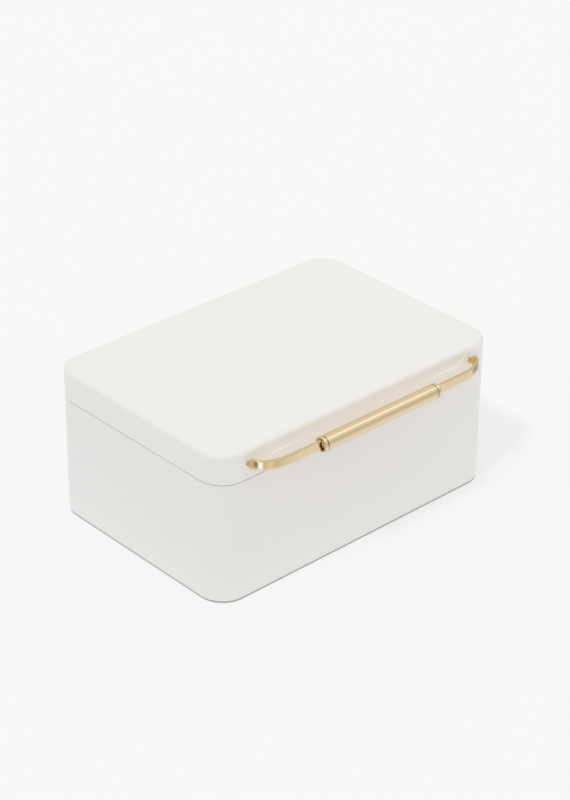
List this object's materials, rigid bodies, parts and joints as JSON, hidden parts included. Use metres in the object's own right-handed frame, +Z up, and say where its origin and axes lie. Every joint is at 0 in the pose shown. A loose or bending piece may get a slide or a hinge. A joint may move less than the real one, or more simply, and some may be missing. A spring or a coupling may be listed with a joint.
{
  "type": "jewellery box",
  "caption": "Lacquered rectangular jewellery box with rounded corners, a rear-hinged lid, a brass strip pull, a lined interior and a sliding inner tray.",
  "frame": {"origin": "centre of the body's footprint, on the resting face of the felt", "axes": "+X along the front to the right as seen from the front, +Y towards the hinges at the back, +Z up"},
  "size_m": [0.25, 0.1963, 0.1118],
  "materials": {
    "lacquer": "satin white lacquer over wood fibre board",
    "board": "sealed board",
    "felt": "pressed wool felt",
    "suede": "brushed microsuede",
    "ribbon": "woven ribbon",
    "mirror": "silvered glass",
    "polished_brass": "polished and lacquered",
    "satin_brass": "satin brushed",
    "fitting_brass": "plain",
    "steel": "nickel-plated magnet"
  },
  "bodies": {
    "base": {"base_shell": "lacquer", "bottom_panel": "board", "base_felt": "felt", "wall_lining": "suede", "floor_pad": "suede", "divider_long": "suede", "divider_cross_left": "suede", "divider_cross_right": "suede", "tray_runner_left": "lacquer", "tray_runner_right": "lacquer", "magnet_base_left": "steel", "magnet_base_right": "steel", "hinge_left_base_leaf": "fitting_brass", "hinge_right_base_leaf": "fitting_brass", "hinge_left_pin": "fitting_brass", "hinge_right_pin": "fitting_brass", "hinge_screw_base_left_1": "fitting_brass", "hinge_screw_base_left_2": "fitting_brass", "hinge_screw_base_right_1": "fitting_brass", "hinge_screw_base_right_2": "fitting_brass"},
    "lid": {"lid_shell": "lacquer", "lid_lining": "suede", "lid_mirror": "mirror", "magnet_lid_left": "steel", "magnet_lid_right": "steel", "hinge_left_lid_leaf": "fitting_brass", "hinge_right_lid_leaf": "fitting_brass", "hinge_screw_lid_left_1": "fitting_brass", "hinge_screw_lid_left_2": "fitting_brass", "hinge_screw_lid_right_1": "fitting_brass", "hinge_screw_lid_right_2": "fitting_brass", "handle_strip": "polished_brass", "handle_sleeve": "satin_brass", "handle_ring_left": "polished_brass", "handle_ring_right": "polished_brass", "handle_bush_left": "fitting_brass", "handle_bush_right": "fitting_brass", "handle_nut_left": "fitting_brass", "handle_nut_right": "fitting_brass"},
    "tray": {"tray_body": "suede", "tray_divider_left": "suede", "tray_divider_right": "suede", "ring_roll_1": "suede", "ring_roll_2": "suede", "ring_roll_3": "suede", "ring_roll_4": "suede", "ring_roll_5": "suede", "tray_pull_tab": "ribbon"}
  },
  "joints": [
    {"name": "lid_hinge", "type": "hinge", "parent": "base", "child": "lid", "pos_m": [0, 0.0879, 0.09], "axis": [-1, 0, 0], "range_deg": [0, 95]},
    {"name": "tray_slide", "type": "slide", "parent": "base", "child": "tray", "axis": [0, -1, 0], "range_m": [0, 0.0738]}
  ]
}
